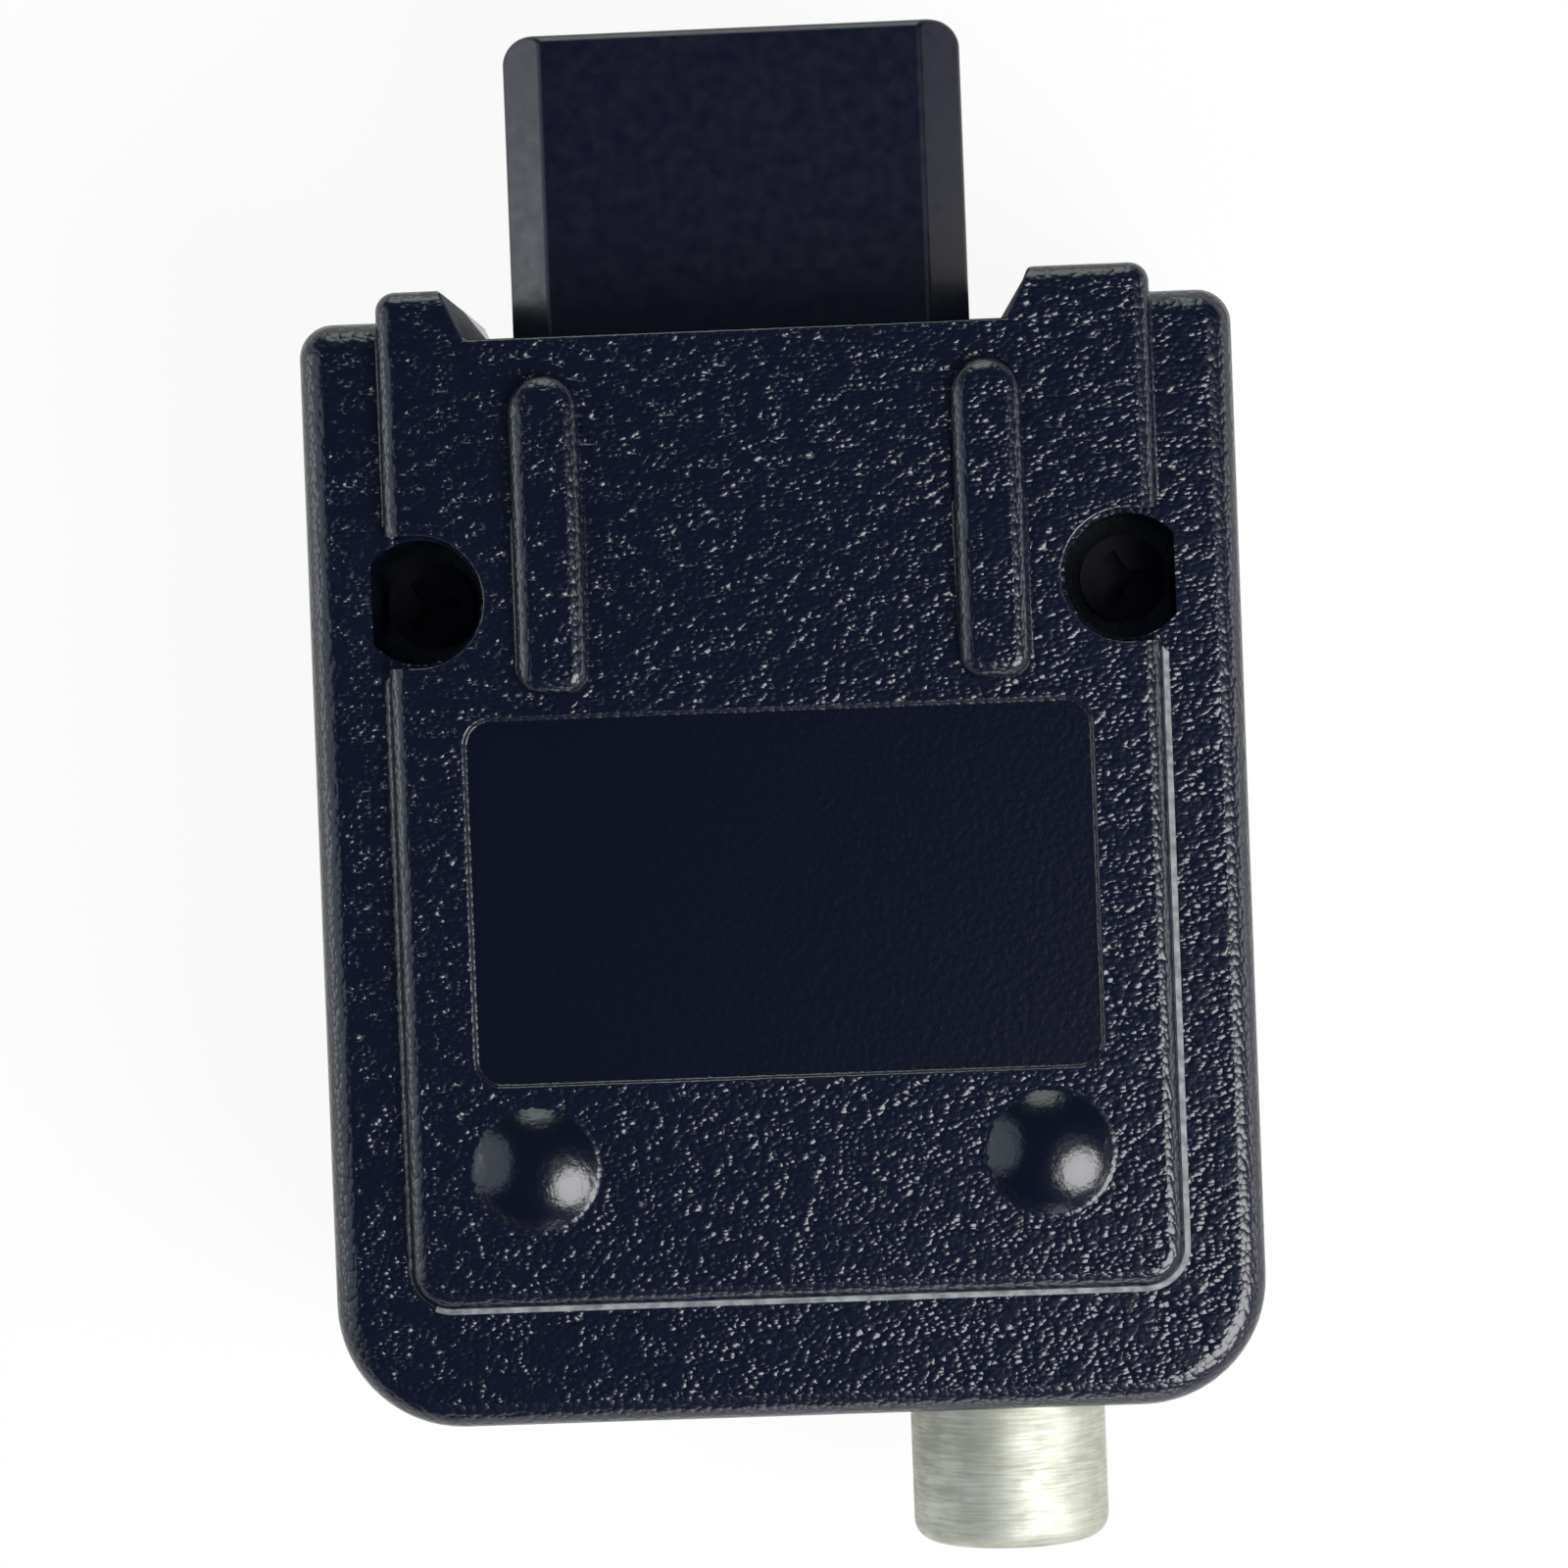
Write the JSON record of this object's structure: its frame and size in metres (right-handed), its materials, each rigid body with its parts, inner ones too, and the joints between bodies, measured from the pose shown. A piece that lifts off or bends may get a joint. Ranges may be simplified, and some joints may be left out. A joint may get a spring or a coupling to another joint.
{
  "type": "rf modulator",
  "caption": "Plug-in RF modulator: flat two-shell case with a multi-way plug on one end, and a phono-type RF output jack and a sliding channel switch on the other.",
  "frame": {"origin": "centre of the whole object's footprint, on the plane of the case's flat outer face", "axes": "+Y towards the end of the multi-way plug, -Y towards the end of the RF jack, +Z out of the label side, +X to the right with the label side facing the viewer and the plug up"},
  "size_m": [0.0384, 0.0642, 0.0219],
  "materials": {
    "case_plastic": "black ABS with a spark-eroded grain",
    "plug_plastic": "smooth black ABS",
    "nickel_plate": "nickel-plated brass, finely brushed",
    "screw_steel": "blackened steel",
    "tin_plate": "tinned steel sheet",
    "contact_brass": "plated spring brass",
    "white_insulator": "natural polypropylene",
    "dark_moulding": "black moulded plastic",
    "board": "phenolic laminate",
    "copper_wire": "enamelled copper",
    "ferrite": "sintered ferrite",
    "capacitor_sleeve": "shrunk sleeve",
    "ceramic": "fired ceramic",
    "choke_coat": "dipped coating"
  },
  "bodies": {
    "modulator": {"back_cover": "case_plastic", "front_cover": "case_plastic", "case_screws": "screw_steel", "plug_shell": "plug_plastic", "contact_carrier": "dark_moulding", "upper_plug_contacts": "contact_brass", "lower_plug_contacts": "contact_brass", "circuit_board": "board", "shield_frame": "tin_plate", "upper_shield_lid": "tin_plate", "lower_shield_lid": "tin_plate", "rf_jack_sleeve": "nickel_plate", "rf_jack_insulator": "white_insulator", "rf_jack_contact": "contact_brass", "rf_jack_lock_ring": "tin_plate", "switch_housing": "tin_plate", "switch_base": "dark_moulding", "switch_terminals": "contact_brass", "modulator_ic": "dark_moulding", "ic_leads": "tin_plate", "coil_cans": "tin_plate", "coil_bobbins": "white_insulator", "coil_windings": "copper_wire", "coil_cores": "ferrite", "crystal": "tin_plate", "electrolytic_capacitors": "capacitor_sleeve", "chip_capacitors": "ceramic", "chip_resistors": "dark_moulding", "rf_chokes": "choke_coat"},
    "channel_slider": {"switch_knob": "dark_moulding", "switch_wiper": "contact_brass"}
  },
  "joints": [
    {"name": "channel_slide", "type": "slide", "parent": "modulator", "child": "channel_slider", "axis": [1, 0, 0], "range_m": [0, 0.002]}
  ]
}
